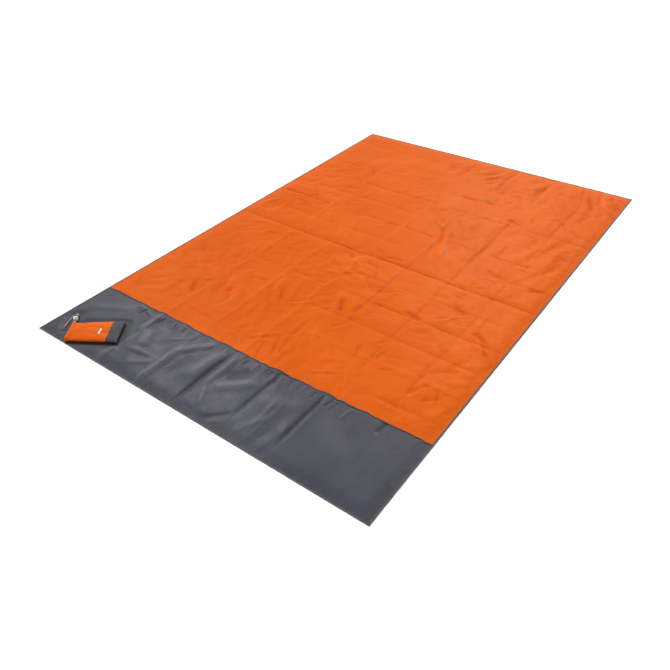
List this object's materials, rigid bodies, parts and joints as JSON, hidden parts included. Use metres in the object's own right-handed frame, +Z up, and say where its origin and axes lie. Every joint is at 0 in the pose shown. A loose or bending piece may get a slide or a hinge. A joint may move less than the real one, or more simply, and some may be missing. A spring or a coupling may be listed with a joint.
{
  "type": "camp blanket",
  "caption": "Thin two-colour waterproof camp blanket spread flat, bound all round, with a drawstring stuff sack and cord lock lying on its end panel.",
  "frame": {"origin": "centre of the spread blanket's underside, on the ground", "axes": "+Z up, +Y along the length from the grey end panel to the far end, +X across the width to the right when looking along +Y"},
  "size_m": [1.4, 2.1, 0.0186],
  "materials": {
    "orange_cloth": "satin coated polyester",
    "grey_cloth": "satin coated polyester",
    "grey_trim": "matt woven tape and thread",
    "cord_braid": "braided polyester",
    "white_plastic": "moulded, slightly glossy",
    "spring_steel": "drawn wire"
  },
  "bodies": {
    "near_half": {"end_panel": "grey_cloth", "panel_seam": "grey_trim", "main_panel_near": "orange_cloth", "binding_near_end": "grey_trim", "binding_left_near": "grey_trim", "binding_right_near": "grey_trim"},
    "far_half": {"main_panel_far": "orange_cloth", "binding_far_end": "grey_trim", "binding_left_far": "grey_trim", "binding_right_far": "grey_trim"},
    "sack": {"sack_front_panel": "orange_cloth", "sack_back_panel": "orange_cloth", "sack_base": "grey_cloth", "sack_hem": "orange_cloth", "drawcord_loop": "cord_braid", "drawcord_tail_a": "cord_braid", "drawcord_tail_b": "cord_braid", "cord_knot": "cord_braid"},
    "cord_lock": {"cord_lock_barrel": "white_plastic", "cord_lock_spring": "spring_steel"},
    "lock_plunger": {"cord_lock_plunger": "white_plastic"}
  },
  "joints": [
    {"name": "far_fold", "type": "hinge", "parent": "near_half", "child": "far_half", "pos_m": [0, 0, 0.002], "axis": [1, 0, 0], "range_deg": [0, 170]},
    {"name": "sack_lift", "type": "slide", "parent": "near_half", "child": "sack", "axis": [0, 0, 1], "range_m": [0, 0.1]},
    {"name": "lock_slide", "type": "slide", "parent": "sack", "child": "cord_lock", "axis": [-0.5664, 0.8241, 0], "range_m": [0, 0.012]},
    {"name": "plunger_press", "type": "slide", "parent": "cord_lock", "child": "lock_plunger", "axis": [0, 0, -1], "range_m": [0, 0.002], "stiffness_N_per_m": 500, "springref_m": -0.001, "deforming": ["cord_lock_spring"]}
  ]
}
